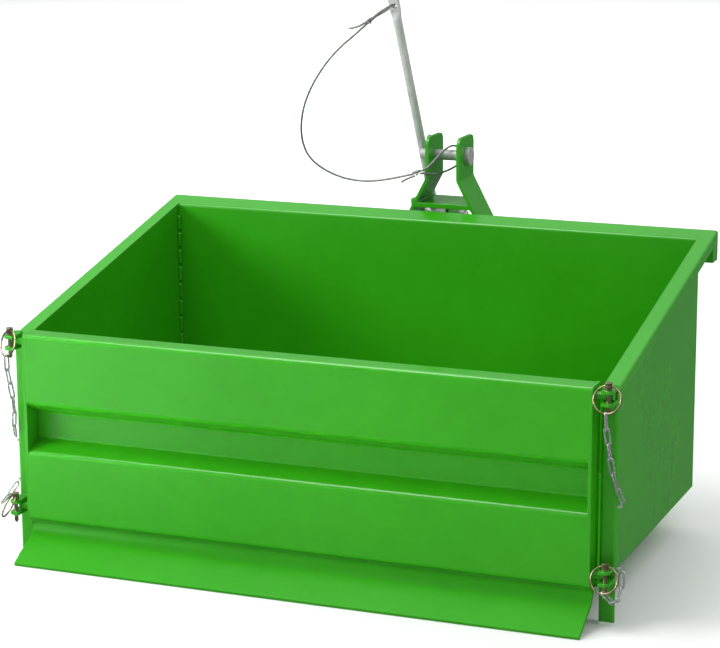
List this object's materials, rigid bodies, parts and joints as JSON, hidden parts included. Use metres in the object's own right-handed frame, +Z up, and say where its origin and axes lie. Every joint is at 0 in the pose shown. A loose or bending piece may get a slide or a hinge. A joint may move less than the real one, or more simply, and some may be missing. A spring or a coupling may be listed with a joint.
{
  "type": "rear transport box with tipping headstock",
  "caption": "Green sheet steel rear transport box for a small tractor, with sloping rims, swinging tailgate, scraper blade, tipping three point headstock, release lever and linch pins.",
  "frame": {"origin": "centre of the footprint of the box at ground level, without the wire rope", "axes": "+X across the box to the right side seen from the tailgate, +Y towards the tractor, +Z up; the tailgate and the blade face -Y"},
  "size_m": [1.051, 0.8784, 0.875],
  "materials": {
    "green_paint": "gloss",
    "zinc_steel": "satin",
    "yellow_zinc": "satin",
    "bright_chain": "gloss",
    "wire_rope": "satin",
    "rubber": "matte"
  },
  "bodies": {
    "tub": {"floor_pan": "green_paint", "side_wall_right": "green_paint", "side_wall_left": "green_paint", "rim_right": "green_paint", "rim_left": "green_paint", "back_wall": "green_paint", "rear_bar": "green_paint", "rear_bar_caps": "green_paint", "bar_spacers": "green_paint", "scraper_blade": "green_paint", "floor_runner_right": "green_paint", "floor_runner_left": "green_paint", "pivot_lug_right": "green_paint", "pivot_lug_left": "green_paint", "catch_ears": "green_paint", "catch_bar": "zinc_steel", "stop_buffers": "rubber", "pin_fork_upper_right": "green_paint", "pin_fork_upper_left": "green_paint", "pin_fork_lower_right": "green_paint", "pin_fork_lower_left": "green_paint", "chain_eyes": "zinc_steel"},
    "tailgate": {"gate_panel": "green_paint", "gate_end_right": "green_paint", "gate_end_left": "green_paint", "gate_studs_upper": "green_paint", "gate_studs_lower": "green_paint"},
    "headstock": {"hitch_leg_right": "green_paint", "hitch_leg_left": "green_paint", "cross_plate": "green_paint", "hitch_tube": "green_paint", "link_pin_right": "green_paint", "link_pin_left": "green_paint", "leg_gussets": "green_paint", "top_link_pin": "zinc_steel", "pin_clip": "zinc_steel", "lever_bracket_base": "green_paint", "lever_bracket_cheeks": "green_paint", "lever_pivot_bolt": "zinc_steel", "lever_pivot_nut": "zinc_steel", "rope_eye_lower": "wire_rope", "rope_clamp_lower": "zinc_steel"},
    "release_lever": {"lever_rod": "zinc_steel", "lever_sleeve": "zinc_steel", "latch_hook": "zinc_steel", "rope_strand": "wire_rope", "rope_eye_upper": "wire_rope", "rope_clamp_upper": "zinc_steel"},
    "linch_upper_right": {"linch_pin_upper_right": "yellow_zinc", "pull_ring_upper_right": "yellow_zinc", "chain_upper_right": "bright_chain"},
    "linch_upper_left": {"linch_pin_upper_left": "yellow_zinc", "pull_ring_upper_left": "yellow_zinc", "chain_upper_left": "bright_chain"},
    "linch_lower_right": {"linch_pin_lower_right": "yellow_zinc", "pull_ring_lower_right": "yellow_zinc", "chain_lower_right": "bright_chain"},
    "linch_lower_left": {"linch_pin_lower_left": "yellow_zinc", "pull_ring_lower_left": "yellow_zinc", "chain_lower_left": "bright_chain"}
  },
  "joints": [
    {"name": "tailgate_swing", "type": "hinge", "parent": "tub", "child": "tailgate", "pos_m": [0.00282, -0.37478, 0.36], "axis": [-1, 0, 0], "range_deg": [0, 100]},
    {"name": "box_tip", "type": "hinge", "parent": "tub", "child": "headstock", "pos_m": [0.00282, 0.33522, 0.085], "axis": [-1, 0, 0], "range_deg": [0, 60]},
    {"name": "lever_pull", "type": "hinge", "parent": "headstock", "child": "release_lever", "pos_m": [-0.05918, 0.41522, 0.462], "axis": [-1, 0, 0], "range_deg": [0, 25], "deforming": ["rope_strand"]},
    {"name": "linch_lift_upper_right", "type": "slide", "parent": "tub", "child": "linch_upper_right", "axis": [0, 0, 1], "range_m": [0, 0.05], "deforming": ["chain_upper_right"]},
    {"name": "linch_lift_upper_left", "type": "slide", "parent": "tub", "child": "linch_upper_left", "axis": [0, 0, 1], "range_m": [0, 0.05], "deforming": ["chain_upper_left"]},
    {"name": "linch_lift_lower_right", "type": "slide", "parent": "tub", "child": "linch_lower_right", "axis": [0, 0, 1], "range_m": [0, 0.05], "deforming": ["chain_lower_right"]},
    {"name": "linch_lift_lower_left", "type": "slide", "parent": "tub", "child": "linch_lower_left", "axis": [0, 0, 1], "range_m": [0, 0.05], "deforming": ["chain_lower_left"]}
  ]
}
